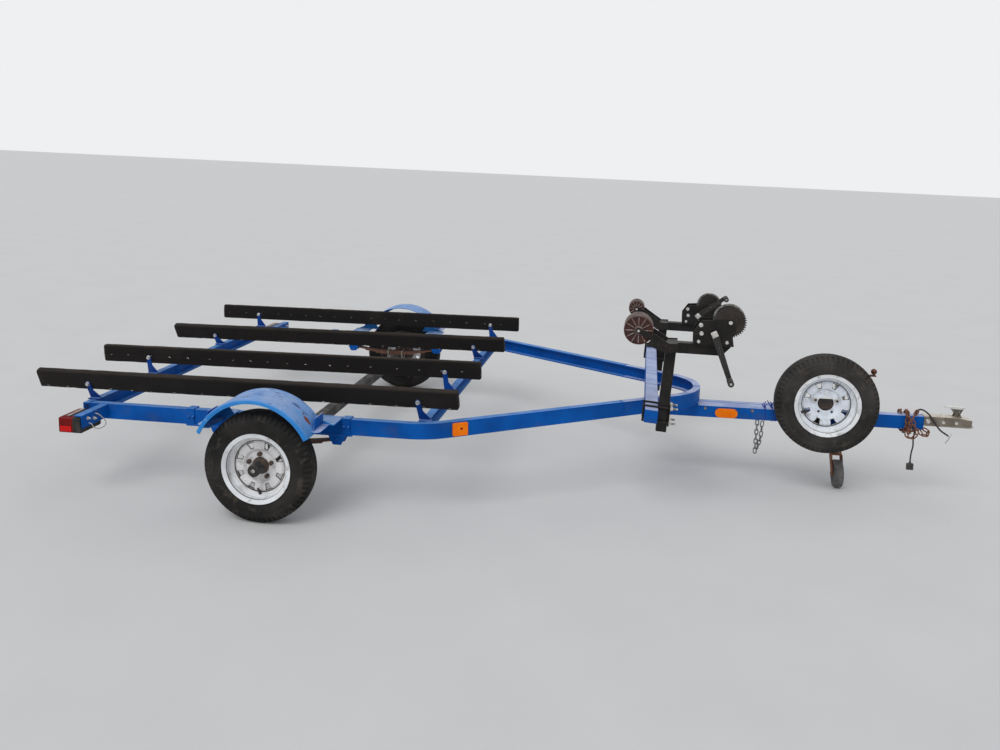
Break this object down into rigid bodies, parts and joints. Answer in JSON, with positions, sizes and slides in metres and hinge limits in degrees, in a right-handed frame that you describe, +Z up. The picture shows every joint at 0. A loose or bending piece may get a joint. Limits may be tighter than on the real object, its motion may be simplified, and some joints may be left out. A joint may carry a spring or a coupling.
{
  "type": "two-place watercraft trailer",
  "caption": "Single-axle trailer for two small watercraft: hairpin channel frame, carpeted bunks, winch stands, tongue with spare, jack and ball coupler.",
  "frame": {"origin": "on the ground, in the middle of the trailer's length and width", "axes": "+X forward to the coupler, +Y to the trailer's left, +Z up; the frame stands 1.8 degrees nose up on its jack"},
  "size_m": [4.8152, 2.6, 1.0846],
  "materials": {
    "amber_lens": "amber moulding",
    "black_axle": "black paint, dusty",
    "black_cord": "black sheath",
    "black_plastic": "moulded",
    "black_steel": "black paint, worn brown",
    "blue_steel": "gloss paint, faded on top faces",
    "bunk_carpet": "black bunk carpet",
    "caster_rubber": "grey rubber",
    "chain_zinc": "galvanised",
    "faded_blue": "thin chalky paint with scuffs and a rust patch",
    "jack_zinc": "zinc plate with rust",
    "pale_wire": "pale sheath",
    "red_lens": "clear red moulding",
    "roller_rubber": "worn rubber",
    "rusty_chain": "rust",
    "rusty_fork": "rust",
    "rusty_hub": "rusty iron",
    "rusty_spring": "brown rust",
    "tyre_rubber": "dusty",
    "white_rim": "white enamel",
    "winch_steel": "dark plated steel",
    "zinc": "zinc plate, worn",
    "zinc_bolts": "dull zinc plate"
  },
  "bodies": {
    "trailer": {"rail_right": "blue_steel", "rail_left": "blue_steel", "nose": "blue_steel", "crossmember_rear": "blue_steel", "crossmember_front": "blue_steel", "bunks": "bunk_carpet", "bunk_brackets": "blue_steel", "leaf_springs": "rusty_spring", "axle_beam": "black_axle", "undercarriage": "blue_steel", "fender_left": "faded_blue", "fender_right": "faded_blue", "tail_lamps": "black_plastic", "lamp_lenses": "red_lens", "amber_lamps": "amber_lens", "crossbar": "blue_steel", "tongue_tube": "blue_steel", "tongue_sides": "blue_steel", "tongue_brackets": "blue_steel", "coupler": "zinc", "stand_right": "black_steel", "stand_left": "black_steel", "stand_clamps": "zinc_bolts", "spare_tyre": "tyre_rubber", "spare_rim": "white_rim", "spare_carrier": "zinc_bolts", "jack_tube": "jack_zinc", "hanging_chain": "chain_zinc", "safety_chain": "rusty_chain", "wiring_lead": "black_cord", "wiring_plug": "black_plastic", "spare_lead": "black_cord", "lamp_wire": "pale_wire"},
    "wheel_right": {"tyre_right": "tyre_rubber", "rim_right": "white_rim", "hub_right": "rusty_hub"},
    "wheel_left": {"tyre_left": "tyre_rubber", "rim_left": "white_rim", "hub_left": "rusty_hub"},
    "roller_right": {"bow_roller_right": "roller_rubber"},
    "roller_left": {"bow_roller_left": "roller_rubber"},
    "drum_right": {"winch_drum_right": "winch_steel"},
    "drum_left": {"winch_drum_left": "winch_steel"},
    "crank_right": {"winch_crank_right": "winch_steel"},
    "crank_left": {"winch_crank_left": "winch_steel"},
    "jack_leg": {"jack_leg": "jack_zinc"},
    "jack_caster": {"jack_fork": "rusty_fork"},
    "caster_wheel": {"jack_wheel": "caster_rubber"},
    "latch": {"coupler_latch": "zinc"}
  },
  "joints": [
    {"name": "wheel_right", "type": "hinge", "parent": "trailer", "child": "wheel_right", "pos_m": [-1.06455, -1.205, 0.265], "axis": [0, 1, 0], "continuous": true},
    {"name": "roller_right", "type": "hinge", "parent": "trailer", "child": "roller_right", "pos_m": [0.62201, -0.673, 0.94231], "axis": [0, 1, 0], "continuous": true},
    {"name": "drum_right", "type": "hinge", "parent": "trailer", "child": "drum_right", "pos_m": [1.0431, -0.673, 1.00957], "axis": [0, 1, 0], "continuous": true},
    {"name": "crank_right", "type": "hinge", "parent": "trailer", "child": "crank_right", "pos_m": [0.97177, -0.673, 0.9553], "axis": [0, 1, 0], "continuous": true},
    {"name": "wheel_left", "type": "hinge", "parent": "trailer", "child": "wheel_left", "pos_m": [-1.06455, 1.205, 0.265], "axis": [0, 1, 0], "continuous": true},
    {"name": "roller_left", "type": "hinge", "parent": "trailer", "child": "roller_left", "pos_m": [0.60016, 0.673, 0.80956], "axis": [0, 1, 0], "continuous": true},
    {"name": "drum_left", "type": "hinge", "parent": "trailer", "child": "drum_left", "pos_m": [1.04806, 0.673, 0.85165], "axis": [0, 1, 0], "continuous": true},
    {"name": "crank_left", "type": "hinge", "parent": "trailer", "child": "crank_left", "pos_m": [0.97673, 0.673, 0.79738], "axis": [0, 1, 0], "continuous": true},
    {"name": "jack_raise", "type": "slide", "parent": "trailer", "child": "jack_leg", "axis": [-0.0314, 0, 0.9995], "range_m": [-0.06, 0.15]},
    {"name": "caster_swivel", "type": "hinge", "parent": "jack_leg", "child": "jack_caster", "pos_m": [1.74874, 0.078, 0.17242], "axis": [-0.0314, 0, 0.9995], "continuous": true},
    {"name": "caster_roll", "type": "hinge", "parent": "jack_caster", "child": "caster_wheel", "pos_m": [1.75179, 0.016, 0.07547], "axis": [0.9995, 0, 0.0314], "continuous": true},
    {"name": "latch_lift", "type": "hinge", "parent": "trailer", "child": "latch", "pos_m": [2.32254, 0, 0.47449], "axis": [0, 1, 0], "range_deg": [0, 55]}
  ],
  "couplings": [
    {"joint": "crank_right", "follows": "drum_right", "ratio": -4},
    {"joint": "crank_left", "follows": "drum_left", "ratio": -4}
  ]
}
